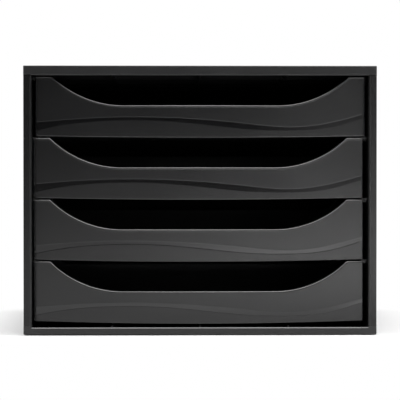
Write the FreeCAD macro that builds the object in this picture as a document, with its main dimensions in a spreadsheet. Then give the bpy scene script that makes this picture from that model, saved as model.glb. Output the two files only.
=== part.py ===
import FreeCAD, Part
import math
import os
import re

import Sketcher

# Letter tray stack: a landscape desktop cabinet with four drawers, injection-moulded in
# polystyrene. Millimetres, +X right, +Y back (the fronts face -Y), +Z up. The origin is
# the centre of the footprint, on the surface that the feet stand on.

doc = FreeCAD.newDocument("LetterTrayStack")

# ---------------------------------------------------------------------------------------
# Driving dimensions. Every alias is set once here, and everything else follows from them.
# ---------------------------------------------------------------------------------------

SIZES = {
    # outer box
    "width": 355.0,
    "depth": 270.0,
    "height": 271.0,
    # housing panels
    "skin": 2.5,  # wall of the moulded panels
    "top_face": 9.7,  # height of the top panel's front face
    "base_face": 8.5,  # height of the bottom panel's front face
    "side_thick": 6.3,  # side panel, over its returns
    "rib": 1.6,
    "edge_round": 0.8,
    "head_chamfer": 1.1,  # bevels of the front edges that frame the drawer opening:
    "sill_chamfer": 0.8,  # under the top panel, on the bottom panel
    "jamb_chamfer": 1.1,  # and on the runner plates
    "sill_drop": 1.4,  # how far the bottom panel's front wall is cut down between them
    "side_draft": 0.8,  # how far a side panel's front face slopes back to its outer edge
    "return_depth": 3.0,  # side panel's front return
    "tongue_rise": 5.5,  # side panels' tongues, inside the top and bottom skirts
    "tongue_thick": 1.6,
    "panel_fit": 0.1,  # clearance of one panel in another
    # runner plates, which line the side panels and carry the drawers
    "runner_thick": 1.8,
    "ledge_reach": 6.5,
    "ledge_thick": 1.5,
    "ledge_setback": 18.5,  # behind the housing's front
    "nib_gap": 6.5,  # from a ledge's front end to its stop nib
    "nib_long": 3.0,
    "nib_drop": 2.6,
    # back panel, which slides into grooves
    "back_thick": 2.2,
    "back_inset": 2.7,  # from the housing's rear face
    "groove_depth": 2.4,
    # bottom panel's strips under the lowest drawer
    "strip_wide": 8.0,
    "strip_inset": 3.4,
    "strip_setback": 36.0,
    # drawers
    "side_play": 2.5,  # between a front and the runner plate on each side of it
    "front_gap": 1.85,  # between one front and the next
    "head_gap": 0.25,  # between the highest front and the top panel
    "sill_gap": 4.2,  # between the lowest front's side corners and the bottom panel
    "front_setback": 0.8,  # middle of the face, behind the housing's front
    "bow": 11.0,  # how far the sides of the curved face lie behind its middle
    "plate": 2.2,
    "corner_round": 2.0,
    "edge_return": 6.0,
    "front_drop": 0.9,  # sag of the lower edge's curve at its middle
    "cut_depth": 29.8,
    "cut_radius": 104.0,
    "tab_wide": 15.5,  # flat top of the tab at each end of the cut-out
    "tab_round": 4.0,
    "rim_tall": 1.7,
    "rim_proud": 0.7,
    "lip_depth": 12.0,
    "wave_deep": 0.15,
    "wall": 2.0,
    "tray_inset": 0.5,  # tray's side walls, inside the front's side edges
    "tray_drop": 4.4,  # tray's side walls, below the tops of the tabs
    "rear_drop": 15.4,  # tray's rear wall, below the tops of the tabs
    "floor_drop": 0.6,  # tray's underside, below the front's side corners
    "run_gap": 0.1,  # tray's underside over its ledge
    "rear_gap": 4.6,  # between a closed drawer and the back panel
    "travel": 200.0,
    "ear_long": 12.0,
    "ear_gap": 1.4,  # stop ear under its ledge
    "stop_gap": 0.3,
    # side play that each drawer has taken up in its runners
    "shift_1": 0.4,
    "shift_2": -1.8,
    "shift_3": -1.6,
    "shift_4": -1.55,
    # feet
    "foot_radius": 8.0,
    "foot_thick": 1.8,
    "foot_proud": 0.8,
    "foot_inset_x": 26.0,
    "foot_inset_y": 24.0,
    "foot_round": 0.4,
    # screws through the bottom panel into the side panels
    "screw_radius": 1.45,
    "screw_length": 13.0,
    "head_radius": 2.3,
    "head_tall": 1.8,
    "screw_hole": 1.6,
    "screw_spare": 1.0,  # depth of the boss's hole beyond the screw's end
    "boss_wide": 9.0,
    "boss_tall": 10.0,
    "screw_inset_x": 3.6,
    "screw_inset_y": 45.0,
    "cross_wide": 0.8,
    "cross_deep": 1.1,
}
DRAWERS = 4

sheet = doc.addObject("Spreadsheet::Sheet", "Sizes")
for row, (alias, value) in enumerate(SIZES.items(), start=1):
    sheet.set(f"A{row}", alias)
    sheet.set(f"B{row}", str(value))
    sheet.setAlias(f"B{row}", alias)
doc.recompute()

NAMES = re.compile(r"\b(" + "|".join(sorted(SIZES, key=len, reverse=True)) + r")\b")


def bound(text):
    """A formula in the sheet's aliases, as an expression of the document."""
    return NAMES.sub(lambda match: "Sizes." + match.group(1), str(text))


def number(text):
    """The present value of such a formula."""
    return float(sheet.evalExpression(bound(text)))


def drive(obj, prop, text):
    """Bind a property to a formula."""
    obj.setExpression(prop, bound(text))


# ---------------------------------------------------------------------------------------
# Derived places, as formulas in the same aliases
# ---------------------------------------------------------------------------------------

HALF = "(width / 2)"
FRONT_Y = "(-depth / 2)"
REAR_Y = "(depth / 2)"
BASE_Z = "foot_proud"  # underside of the bottom panel
FLOOR_Z = "(foot_proud + base_face)"  # its upper edge, where the side panels stand
HEAD_Z = "(height - top_face)"  # lower edge of the top panel
SIDE_IN = "(width / 2 - side_thick)"  # inner face of the side panels
CLEAR_X = "(width / 2 - side_thick - runner_thick)"  # inner face of the runner plates
FRONT_HALF = "(width / 2 - side_thick - runner_thick - side_play)"
FRONT_TALL = (
    "((height - top_face - base_face - foot_proud - head_gap - sill_gap"
    f" - {DRAWERS - 1} * front_gap) / {DRAWERS})"
)
PITCH = f"({FRONT_TALL} + front_gap)"
BACK_OUT = "(depth / 2 - back_inset)"  # rear face of the back panel
BACK_IN = "(depth / 2 - back_inset - back_thick)"
RUNNER_END = "(depth / 2 - back_inset - back_thick - panel_fit)"


def drawer_level(index):
    """Height of the side corners of drawer index's lower edge; drawer 1 is the highest."""
    return f"(height - top_face - head_gap - {FRONT_TALL} - {index - 1} * {PITCH})"


# ---------------------------------------------------------------------------------------
# Sketch and feature helpers
# ---------------------------------------------------------------------------------------


def new_body(label):
    body = doc.addObject("PartDesign::Body", label)
    body.Label = label
    return body


def new_sketch(body, name, plane="XY_Plane", offset="0"):
    """A sketch on one of the body's origin planes, moved along the plane's normal."""
    sketch = body.newObject("Sketcher::SketchObject", name)
    support = next(f for f in body.Origin.OriginFeatures if f.Role == plane)
    sketch.AttachmentSupport = [(support, "")]
    sketch.MapMode = "FlatFace"
    sketch.AttachmentOffset = FreeCAD.Placement(
        FreeCAD.Vector(0, 0, number(offset)), FreeCAD.Rotation()
    )
    drive(sketch, "AttachmentOffset.Base.z", offset)
    return sketch


def pin(sketch, geometry, end, x, y):
    """Fix one end of an edge at a point given by two formulas."""
    for kind, text in (("DistanceX", x), ("DistanceY", y)):
        index = sketch.addConstraint(
            Sketcher.Constraint(kind, -1, 1, geometry, end, number(text))
        )
        drive(sketch, f"Constraints[{index}]", text)


def outline(sketch, points):
    """A closed outline of straight edges and arcs through the given corners.

    points holds (x, y) or (x, y, radius, bulge): the edge that leaves such a corner is an
    arc of that radius, which bulges to the left of its direction (+1) or the right (-1).
    """
    count = len(points)
    for index, point in enumerate(points):
        start = FreeCAD.Vector(number(point[0]), number(point[1]), 0)
        after = points[(index + 1) % count]
        end = FreeCAD.Vector(number(after[0]), number(after[1]), 0)
        if len(point) == 2:
            edge = sketch.addGeometry(Part.LineSegment(start, end))
            pin(sketch, edge, 1, point[0], point[1])
            pin(sketch, edge, 2, after[0], after[1])
            continue
        radius, bulge = number(point[2]), point[3]
        chord = end - start
        left = FreeCAD.Vector(-chord.y, chord.x, 0).normalize()
        rise = radius - math.sqrt(radius**2 - (chord.Length / 2) ** 2)
        middle = (start + end) * 0.5 + left * (rise * bulge)
        arc = Part.Arc(start, middle, end)
        edge = sketch.addGeometry(arc)
        first = sketch.getPoint(edge, 1)
        ends = (1, 2) if first.distanceToPoint(start) < first.distanceToPoint(end) else (2, 1)
        pin(sketch, edge, ends[0], point[0], point[1])
        pin(sketch, edge, ends[1], after[0], after[1])
        index = sketch.addConstraint(Sketcher.Constraint("Radius", edge, radius))
        drive(sketch, f"Constraints[{index}]", point[2])


def box(sketch, x0, x1, y0, y1):
    outline(sketch, [(x0, y0), (x1, y0), (x1, y1), (x0, y1)])


def circle(sketch, x, y, radius):
    centre = FreeCAD.Vector(number(x), number(y), 0)
    edge = sketch.addGeometry(
        Part.Circle(centre, FreeCAD.Vector(0, 0, 1), number(radius))
    )
    pin(sketch, edge, 3, x, y)
    index = sketch.addConstraint(Sketcher.Constraint("Radius", edge, number(radius)))
    drive(sketch, f"Constraints[{index}]", radius)


def pad(body, sketch, length, reverse=False):
    """Add the sketch's outline, drawn out along the plane's normal."""
    before = body.Shape.Volume if body.Tip else 0.0
    feature = body.newObject("PartDesign::Pad", sketch.Name + "_pad")
    feature.Profile = sketch
    drive(feature, "Length", length)
    feature.Reversed = reverse
    doc.recompute()
    if not body.Shape.Volume > before + 1e-3:
        raise RuntimeError(f"{feature.Name} adds nothing")
    sound(body)
    return feature


def pocket(body, sketch, length=None, reverse=False):
    """Cut the sketch's outline away, to a depth, or right through to both sides."""
    before = body.Shape.Volume
    feature = body.newObject("PartDesign::Pocket", sketch.Name + "_cut")
    feature.Profile = sketch
    if length is None:
        feature.Type = "ThroughAll"
        feature.Midplane = True
    else:
        drive(feature, "Length", length)
        feature.Reversed = reverse
    doc.recompute()
    if not body.Shape.Volume < before - 1e-3:
        raise RuntimeError(f"{feature.Name} cuts nothing")
    sound(body)
    return feature


def edges_where(body, test):
    """Names of the edges whose two ends and middle all pass a test on a point."""
    names = []
    for index, edge in enumerate(body.Tip.Shape.Edges, start=1):
        middle = edge.valueAt((edge.FirstParameter + edge.LastParameter) / 2)
        if all(test(p) for p in [v.Point for v in edge.Vertexes] + [middle]):
            names.append(f"Edge{index}")
    return names


def dress(body, kind, names, size, prop):
    if not names:
        raise RuntimeError(f"{body.Name} has no edge for its {kind.lower()}")
    base = body.Tip
    feature = body.newObject(f"PartDesign::{kind}", f"{body.Name}_{kind.lower()}")
    feature.Base = (base, names)
    drive(feature, prop, size)
    doc.recompute()
    sound(body)
    return feature


def fillet(body, test, radius):
    return dress(body, "Fillet", edges_where(body, test), radius, "Radius")


def chamfer(body, test, size):
    return dress(body, "Chamfer", edges_where(body, test), size, "Size")


def sound(body):
    """Stop if the body's last feature left it broken."""
    if not body.Shape.isValid():
        raise RuntimeError(f"{body.Name}: {body.Tip.Name} leaves a broken solid")


def near(value, target):
    return abs(value - target) < 1e-4


# ---------------------------------------------------------------------------------------
# Top and bottom panels: shallow pans with ribs, open towards the drawers
# ---------------------------------------------------------------------------------------

CHANNEL_X = "(width / 2 - skin)"  # inner face of the pans' side skirts
SCREW_X = "(width / 2 - screw_inset_x)"
SCREW_Y = "(depth / 2 - screw_inset_y)"
FOOT_X = "(width / 2 - foot_inset_x)"
FOOT_Y = "(depth / 2 - foot_inset_y)"
SIDES = (-1, 1)
CORNERS = [(a, b) for a in SIDES for b in SIDES]


def pan(label, face, on_top):
    """A ribbed pan, drawn from its own z = 0; on_top puts the skin above the ribs."""
    body = new_body(label)
    plan = new_sketch(body, label + "_plan")
    box(plan, f"-{HALF}", HALF, FRONT_Y, REAR_Y)
    pad(body, plan, face)
    outside = number(face) if on_top else 0.0
    half, reach = number(HALF), number(REAR_Y)
    fillet(
        body,
        lambda p: (near(abs(p.x), half) and near(abs(p.y), reach)) or near(p.z, outside),
        "edge_round",
    )
    edge = "0" if on_top else face
    hollow = new_sketch(body, label + "_hollow", offset=edge)
    box(hollow, f"-{CHANNEL_X}", CHANNEL_X, f"{FRONT_Y} + skin", f"{REAR_Y} - skin")
    pocket(body, hollow, f"{face} - skin", reverse=on_top)
    low = "0" if on_top else "skin"
    # two ribs carry the runner plates, and three stiffen the skin between them
    along = new_sketch(body, label + "_ribs_along", offset=low)
    for side in SIDES:
        box(along, f"{side} * {CLEAR_X}", f"{side} * {SIDE_IN}", f"{FRONT_Y} + skin", RUNNER_END)
    for place in (-1, 0, 1):
        middle = f"{place} * width / 4"
        box(along, f"{middle} - rib / 2", f"{middle} + rib / 2", f"{FRONT_Y} + skin", RUNNER_END)
    pad(body, along, f"{face} - skin")
    across = new_sketch(body, label + "_ribs_across", offset=low)
    for place in (-1, 0, 1):
        middle = f"{place} * depth / 4"
        box(across, f"-{CLEAR_X}", CLEAR_X, f"{middle} - rib / 2", f"{middle} + rib / 2")
    box(across, f"-{CLEAR_X}", CLEAR_X, f"{RUNNER_END} - rib", RUNNER_END)
    pad(body, across, f"{face} - skin")
    return body


top_panel = pan("top_panel", "top_face", True)
drive(top_panel, "Placement.Base.z", HEAD_Z)

bottom_panel = pan("bottom_panel", "base_face", False)
drive(bottom_panel, "Placement.Base.z", BASE_Z)

# the top panel's lower front edge is bevelled from side to side; the bottom panel's front
# wall is cut down between the runner plates, with a bevel on the new edge
head = new_sketch(top_panel, "head", "YZ_Plane")
outline(
    head,
    [
        (FRONT_Y, "head_chamfer"),
        (f"{FRONT_Y} + head_chamfer", "0"),
        (f"{FRONT_Y} - head_chamfer", "-head_chamfer"),
    ],
)
pocket(top_panel, head)

SILL_Z = "(base_face - sill_drop)"
sill = new_sketch(bottom_panel, "sill", "YZ_Plane", f"-{CLEAR_X}")
outline(
    sill,
    [
        (f"{FRONT_Y} - sill_chamfer", f"{SILL_Z} - 2 * sill_chamfer"),
        (f"{FRONT_Y} + sill_chamfer", SILL_Z),
        (f"{FRONT_Y} + skin", SILL_Z),
        (f"{FRONT_Y} + skin", "base_face + sill_drop"),
        (f"{FRONT_Y} - sill_chamfer", "base_face + sill_drop"),
    ],
)
pocket(bottom_panel, sill, f"2 * {CLEAR_X}", reverse=True)

# screw blocks that fill the side channels, and strips that carry the lowest drawer
blocks = new_sketch(bottom_panel, "screw_blocks", offset="skin")
for a, b in CORNERS:
    place = f"{b} * {SCREW_Y}"
    box(
        blocks,
        f"{a} * {SIDE_IN}",
        f"{a} * {CHANNEL_X}",
        f"{place} - boss_wide / 2",
        f"{place} + boss_wide / 2",
    )
pad(bottom_panel, blocks, "base_face - skin")

STRIP_TOP = f"({drawer_level(DRAWERS)} - floor_drop - run_gap - foot_proud)"
strips = new_sketch(bottom_panel, "strips", offset="skin")
for side in SIDES:
    box(
        strips,
        f"{side} * ({CLEAR_X} - strip_inset - strip_wide)",
        f"{side} * ({CLEAR_X} - strip_inset)",
        f"{FRONT_Y} + strip_setback",
        f"{RUNNER_END} - rib / 2",
    )
pad(bottom_panel, strips, f"{STRIP_TOP} - skin")

screw_ways = new_sketch(bottom_panel, "screw_ways")
head_seats = new_sketch(bottom_panel, "head_seats")
foot_seats = new_sketch(bottom_panel, "foot_seats")
for a, b in CORNERS:
    circle(screw_ways, f"{a} * {SCREW_X}", f"{b} * {SCREW_Y}", "screw_hole")
    circle(head_seats, f"{a} * {SCREW_X}", f"{b} * {SCREW_Y}", "head_radius + panel_fit")
    circle(foot_seats, f"{a} * {FOOT_X}", f"{b} * {FOOT_Y}", "foot_radius + panel_fit")
pocket(bottom_panel, screw_ways, "base_face", reverse=True)
pocket(bottom_panel, head_seats, "head_tall", reverse=True)
pocket(bottom_panel, foot_seats, "foot_thick - foot_proud", reverse=True)

# ---------------------------------------------------------------------------------------
# Side panels: channels between the top and bottom panels, with tongues that enter them
# ---------------------------------------------------------------------------------------

TONGUE_OUT = f"({CHANNEL_X} - panel_fit)"
TONGUE_IN = f"({CHANNEL_X} - panel_fit - tongue_thick)"
TONGUE_FRONT = f"({FRONT_Y} + skin + panel_fit)"
SCREW_REACH = "(screw_length + head_tall - base_face)"  # screw's length above the joint


def side_panel(label, side):
    body = new_body(label)

    def at(text):
        return f"{side} * ({text})"

    section = new_sketch(body, label + "_section", offset=FLOOR_Z)
    outline(
        section,
        [
            (at(SIDE_IN), FRONT_Y),
            (at(HALF), f"{FRONT_Y} + side_draft"),
            (at(HALF), REAR_Y),
            (at(SIDE_IN), REAR_Y),
            (at(SIDE_IN), BACK_OUT),
            (at(f"{SIDE_IN} + groove_depth"), BACK_OUT),
            (at(f"{SIDE_IN} + groove_depth"), RUNNER_END),
            (at(SIDE_IN), RUNNER_END),
            (at(SIDE_IN), f"{RUNNER_END} - rib"),
            (at(CHANNEL_X), f"{RUNNER_END} - rib"),
            (at(CHANNEL_X), f"{FRONT_Y} + return_depth"),
            (at(SIDE_IN), f"{FRONT_Y} + return_depth"),
        ],
    )
    pad(body, section, f"{HEAD_Z} - {FLOOR_Z}")
    half = number(HALF)
    ends = (number(f"{FRONT_Y} + side_draft"), number(REAR_Y))
    fillet(
        body,
        lambda p: near(abs(p.x), half) and any(near(p.y, end) for end in ends),
        "edge_round",
    )
    inside = (f"{FRONT_Y} + return_depth", f"{RUNNER_END} - rib")
    webs = [(FLOOR_Z, "skin"), (f"{HEAD_Z} - skin", "skin")]
    for drawer in range(1, DRAWERS):
        ledge = f"{drawer_level(drawer)} - floor_drop - run_gap - ledge_thick"
        webs.append((ledge, "ledge_thick"))
    for count, (level, thick) in enumerate(webs):
        web = new_sketch(body, f"{label}_web_{count}", offset=level)
        box(web, at(SIDE_IN), at(CHANNEL_X), *inside)
        pad(body, web, thick)
    upper = new_sketch(body, label + "_upper_tongue", offset=HEAD_Z)
    box(upper, at(TONGUE_IN), at(TONGUE_OUT), TONGUE_FRONT, RUNNER_END)
    pad(body, upper, "tongue_rise")
    lower = new_sketch(body, label + "_lower_tongue", offset=f"{FLOOR_Z} - tongue_rise")
    stops = [TONGUE_FRONT]
    for end in SIDES:
        for way in SIDES:
            stops.append(f"{end} * {SCREW_Y} + {way} * (boss_wide / 2 + panel_fit)")
    stops.append(RUNNER_END)
    for start, end in zip(stops[::2], stops[1::2]):
        box(lower, at(TONGUE_IN), at(TONGUE_OUT), start, end)
    pad(body, lower, "tongue_rise")
    bosses = new_sketch(body, label + "_bosses", offset=FLOOR_Z)
    holes = new_sketch(body, label + "_holes", offset=FLOOR_Z)
    for end in SIDES:
        place = f"{end} * {SCREW_Y}"
        box(
            bosses,
            at(SIDE_IN),
            at(CHANNEL_X),
            f"{place} - boss_wide / 2",
            f"{place} + boss_wide / 2",
        )
        circle(holes, at(SCREW_X), place, "screw_radius")
    pad(body, bosses, "boss_tall")
    pocket(body, holes, f"{SCREW_REACH} + screw_spare", reverse=True)
    return body


left_side_panel = side_panel("left_side_panel", -1)
right_side_panel = side_panel("right_side_panel", 1)

# ---------------------------------------------------------------------------------------
# Runner plates: liners with a ledge under each of drawers 1 to 3 and one at the top.
# Under each ledge's front end hangs a nib that stops the drawer below.
# ---------------------------------------------------------------------------------------

NIB_Y = f"({FRONT_Y} + ledge_setback + nib_gap)"


def runner_plate(label, side):
    body = new_body(label)
    plate = new_sketch(body, label + "_plate", offset=FLOOR_Z)
    box(plate, f"{side} * {CLEAR_X}", f"{side} * {SIDE_IN}", FRONT_Y, RUNNER_END)
    pad(body, plate, f"{HEAD_Z} - {FLOOR_Z}")
    start = f"{CLEAR_X} - ledge_reach" if side > 0 else f"-{CLEAR_X}"
    ledges = new_sketch(body, label + "_ledges", "YZ_Plane", start)
    for drawer in range(1, DRAWERS):
        top = f"({drawer_level(drawer)} - floor_drop - run_gap)"
        under = f"({top} - ledge_thick)"
        outline(
            ledges,
            [
                (f"{FRONT_Y} + ledge_setback", under),
                (NIB_Y, under),
                (NIB_Y, f"{under} - nib_drop"),
                (f"{NIB_Y} + nib_long", f"{under} - nib_drop"),
                (f"{NIB_Y} + nib_long", under),
                (RUNNER_END, under),
                (RUNNER_END, top),
                (f"{FRONT_Y} + ledge_setback", top),
            ],
        )
    under = f"({HEAD_Z} - ledge_thick)"
    outline(
        ledges,
        [
            (NIB_Y, f"{under} - nib_drop"),
            (f"{NIB_Y} + nib_long", f"{under} - nib_drop"),
            (f"{NIB_Y} + nib_long", under),
            (RUNNER_END, under),
            (RUNNER_END, HEAD_Z),
            (NIB_Y, HEAD_Z),
        ],
    )
    pad(body, ledges, "ledge_reach")
    clear, front = number(CLEAR_X), number(FRONT_Y)
    chamfer(body, lambda p: near(abs(p.x), clear) and near(p.y, front), "jamb_chamfer")
    return body


left_runner_plate = runner_plate("left_runner_plate", -1)
right_runner_plate = runner_plate("right_runner_plate", 1)

# ---------------------------------------------------------------------------------------
# Back panel: a flat plate in the side panels' grooves, inside the skirts
# ---------------------------------------------------------------------------------------

back_panel = new_body("back_panel")
back_plan = new_sketch(back_panel, "back_plan", offset=f"{BASE_Z} + skin + panel_fit")
BACK_X = f"({SIDE_IN} + groove_depth - panel_fit)"
box(back_plan, f"-{BACK_X}", BACK_X, BACK_IN, BACK_OUT)
pad(back_panel, back_plan, "height - foot_proud - 2 * (skin + panel_fit)")

# ---------------------------------------------------------------------------------------
# Drawer moulding: a curved front with a wide cut-out, and a tray behind it. It is drawn
# in its closed place, with its own z = 0 at the side corners of the front's lower edge.
# ---------------------------------------------------------------------------------------

BOW_RADIUS = f"(({FRONT_HALF}^2 + bow^2) / (2 * bow))"
DROP_RADIUS = f"(({FRONT_HALF}^2 + front_drop^2) / (2 * front_drop))"
TRAY_HALF = f"({FRONT_HALF} - tray_inset)"
TRAY_TALL = f"({FRONT_TALL} - tray_drop)"
REAR_TALL = f"({FRONT_TALL} - rear_drop)"
TRAY_REAR = f"({BACK_IN} - rear_gap)"
FACE = "rim_proud"  # depths are counted from the rim bead's foremost line
PLATE_BACK = "(rim_proud + plate)"
IN_PLATE = "(rim_proud + plate / 2)"
SPARE = "10"  # how far a rough slab or a cutter stands out beyond what it makes
SLAB_FRONT = f"({FRONT_Y} - {SPARE})"


def face_y(x, inward):
    """Where the curved front lies at x, moved back by inward."""
    fall = f"({BOW_RADIUS} - sqrt({BOW_RADIUS}^2 - ({x})^2))"
    return f"({FRONT_Y} + front_setback - rim_proud + {inward} + {fall})"


SLAB_BACK = face_y(FRONT_HALF, f"(lip_depth + {SPARE})")

# centre of the cut-out's big arc, seen from the front, and of the tab's small round
TAB_X = f"({FRONT_HALF} - tab_wide)"
TAB_Z = f"({FRONT_TALL} - tab_round)"
CUT_Z = f"({FRONT_TALL} - cut_depth + cut_radius)"
CUT_X = (
    f"({TAB_X} - sqrt((cut_radius + tab_round)^2"
    " - (cut_radius - cut_depth + tab_round)^2))"
)


def upper_edge(inset, tabs):
    """Corners of the front's upper edge from right to left, moved inwards by inset."""
    share = f"((cut_radius + {inset}) / (cut_radius + tab_round))"
    meet_x = f"({CUT_X} + ({TAB_X} - {CUT_X}) * {share})"
    meet_z = f"({CUT_Z} + ({TAB_Z} - {CUT_Z}) * {share})"
    top, low = f"({FRONT_TALL} - {inset})", f"({FRONT_TALL} - cut_depth - {inset})"
    big, small = f"(cut_radius + {inset})", f"(tab_round - {inset})"
    cut = [
        (meet_x, meet_z, big, 1),
        (CUT_X, low),
        (f"-{CUT_X}", low, big, 1),
        (f"-{meet_x}", meet_z),
    ]
    if not tabs:
        return cut
    cut[-1] = (f"-{meet_x}", meet_z, small, -1)
    right = [(FRONT_HALF, top), (TAB_X, top, small, -1)]
    left = [(f"-{TAB_X}", top), (f"-{FRONT_HALF}", top)]
    return right + cut + left


def back_again(points):
    """The same corners from the last to the first, with their arcs."""
    flipped = []
    for index in range(len(points) - 1, -1, -1):
        arc = points[index - 1][2:] if index > 0 else ()
        if arc:
            arc = (arc[0], -arc[1])
        flipped.append(points[index][:2] + arc)
    return flipped


moulding = new_body("drawer_moulding")


def slab(name, points):
    """A rough slab with the given front view, to be trimmed to the curved face."""
    sketch = new_sketch(moulding, name, "XZ_Plane", f"-{SLAB_BACK}")
    outline(sketch, points)
    pad(moulding, sketch, f"{SLAB_BACK} - {SLAB_FRONT}")


def trim(name, inward, before):
    """Cut away all that lies before, or behind, the curved face moved back by inward."""
    sketch = new_sketch(moulding, name)
    end_x = f"({FRONT_HALF} + {SPARE})"
    end_y = face_y(end_x, inward)
    far = f"({SLAB_FRONT} - {SPARE})" if before else f"({SLAB_BACK} + {SPARE})"
    outline(
        sketch,
        [
            (f"-{end_x}", end_y, BOW_RADIUS, -1),
            (end_x, end_y),
            (end_x, far),
            (f"-{end_x}", far),
        ],
    )
    pocket(moulding, sketch)


lower_edge = [(f"-{FRONT_HALF}", "0", DROP_RADIUS, -1), (FRONT_HALF, "0")]
slab("front_view", lower_edge + upper_edge("0", True))
trim("face_trim", FACE, True)
trim("plate_trim", PLATE_BACK, False)
slab("rim_view", upper_edge("0", True) + back_again(upper_edge("rim_tall", True)))
trim("rim_back_trim", PLATE_BACK, False)
slab("lip_view", upper_edge("0", False) + back_again(upper_edge("rim_tall", False)))
trim("rim_front_trim", "0", True)
trim("lip_trim", "lip_depth", False)

LEDGE_UNDER = f"({PITCH} - floor_drop - run_gap - ledge_thick)"
EAR_TOP = f"({LEDGE_UNDER} - ear_gap)"
EAR_FRONT = f"({NIB_Y} + nib_long + travel + stop_gap)"

returns = new_sketch(moulding, "edge_returns")
walls = new_sketch(moulding, "side_walls", offset="-floor_drop")
ears = new_sketch(moulding, "stop_ears", offset=TRAY_TALL)
for side in SIDES:
    box(
        returns,
        f"{side} * ({FRONT_HALF} - plate)",
        f"{side} * {FRONT_HALF}",
        face_y(FRONT_HALF, IN_PLATE),
        face_y(FRONT_HALF, f"({PLATE_BACK} + edge_return)"),
    )
    wall_x = (f"{side} * ({TRAY_HALF} - wall)", f"{side} * {TRAY_HALF}")
    box(walls, *wall_x, face_y(TRAY_HALF, IN_PLATE), TRAY_REAR)
    box(ears, *wall_x, EAR_FRONT, f"{EAR_FRONT} + ear_long")
pad(moulding, returns, EAR_TOP)
pad(moulding, walls, f"{TRAY_TALL} + floor_drop")
pad(moulding, ears, f"{EAR_TOP} - {TRAY_TALL}")

tray_floor = new_sketch(moulding, "tray_floor", offset="-floor_drop")
outline(
    tray_floor,
    [
        (f"-{TRAY_HALF}", face_y(TRAY_HALF, IN_PLATE), BOW_RADIUS, -1),
        (TRAY_HALF, face_y(TRAY_HALF, IN_PLATE)),
        (TRAY_HALF, TRAY_REAR),
        (f"-{TRAY_HALF}", TRAY_REAR),
    ],
)
pad(moulding, tray_floor, "wall")

rear_wall = new_sketch(moulding, "rear_wall", offset="-floor_drop")
box(rear_wall, f"-{TRAY_HALF}", TRAY_HALF, f"{TRAY_REAR} - wall", TRAY_REAR)
pad(moulding, rear_wall, f"{REAR_TALL} + floor_drop")

front_half, level_tol = number(FRONT_HALF), 1e-3
corner_y = number(face_y(FRONT_HALF, FACE))
fillet(
    moulding,
    lambda p: near(abs(p.x), front_half) and abs(p.y - corner_y) < level_tol,
    "corner_round",
)

# ---------------------------------------------------------------------------------------
# Wave: a shallow ribbon sunk in the face, which runs from side to side. Its two edges
# are smooth curves through points given as shares of the front's half width and height.
# ---------------------------------------------------------------------------------------

WAVE_UPPER = [
    (-1.00, 0.232),
    (-0.60, 0.306),
    (-0.36, 0.314),
    (0.00, 0.276),
    (0.30, 0.200),
    (0.54, 0.150),
    (0.78, 0.224),
    (1.00, 0.378),
]
WAVE_LOWER = [
    (-1.00, 0.092),
    (-0.84, 0.176),
    (-0.60, 0.244),
    (-0.36, 0.258),
    (0.00, 0.192),
    (0.30, 0.110),
    (0.54, 0.094),
    (0.78, 0.146),
    (1.00, 0.312),
]


def wave_edge(shares, y):
    curve = Part.BSplineCurve()
    half, tall = number(FRONT_HALF), number(FRONT_TALL)
    reach = 1.0 + number("plate") / half  # the ribbon runs out past both side edges
    points = []
    for share_x, share_z in shares:
        along = share_x * reach if abs(share_x) == 1.0 else share_x
        points.append(FreeCAD.Vector(along * half, y, share_z * tall))
    curve.interpolate(points)
    return curve.toShape()


def face_skin():
    """A layer that reaches from before the face to the wave's floor."""
    end_x = number(f"({FRONT_HALF} + {SPARE})")
    low, high = FreeCAD.Vector(0, 0, -number(SPARE)), number(f"{FRONT_TALL} + 2 * {SPARE}")
    rows = []
    for inward in ("0", f"({FACE} + wave_deep)"):
        side = number(face_y(f"({FRONT_HALF} + {SPARE})", inward))
        middle = number(face_y("0", inward))
        rows.append((side, middle))
    (front, front_mid), (back, back_mid) = rows
    corners = [FreeCAD.Vector(x, y, 0) for x in (-end_x, end_x) for y in (front, back)]
    edges = [
        Part.Arc(corners[0], FreeCAD.Vector(0, front_mid, 0), corners[2]).toShape(),
        Part.makeLine(corners[2], corners[3]),
        Part.Arc(corners[3], FreeCAD.Vector(0, back_mid, 0), corners[1]).toShape(),
        Part.makeLine(corners[1], corners[0]),
    ]
    layer = Part.Face(Part.Wire(edges)).extrude(FreeCAD.Vector(0, 0, high))
    layer.translate(low)
    return layer


def ribbon():
    """All that lies between the wave's two edges, from before the front to behind it."""
    start, end = number(SLAB_FRONT), number(SLAB_BACK)
    upper, lower = wave_edge(WAVE_UPPER, start), wave_edge(WAVE_LOWER, start)
    ends = [(e.valueAt(e.FirstParameter), e.valueAt(e.LastParameter)) for e in (upper, lower)]
    left = Part.makeLine(ends[0][0], ends[1][0])
    right = Part.makeLine(ends[0][1], ends[1][1])
    wire = Part.Wire(Part.__sortEdges__([upper, right, lower, left]))
    return Part.Face(wire).extrude(FreeCAD.Vector(0, end - start, 0))


wave = doc.addObject("Part::Feature", "wave")
wave.Label = "wave"
wave.Shape = ribbon().common(face_skin())

# ---------------------------------------------------------------------------------------
# Drawers: the moulding with its wave, at the four levels
# ---------------------------------------------------------------------------------------

pieces = [
    top_panel,
    bottom_panel,
    left_side_panel,
    right_side_panel,
    left_runner_plate,
    right_runner_plate,
    back_panel,
]
for index in range(1, DRAWERS + 1):
    drawer = doc.addObject("Part::Cut", f"drawer_{index}")
    drawer.Label = f"drawer_{index}"
    drawer.Base = moulding
    drawer.Tool = wave
    drive(drawer, "Placement.Base.x", f"shift_{index}")
    drive(drawer, "Placement.Base.z", drawer_level(index))
    pieces.append(drawer)

# ---------------------------------------------------------------------------------------
# Feet: rubber discs, half sunk in seats under the bottom panel
# ---------------------------------------------------------------------------------------

PLACES = {
    (-1, -1): "front_left",
    (1, -1): "front_right",
    (-1, 1): "back_left",
    (1, 1): "back_right",
}

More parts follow.
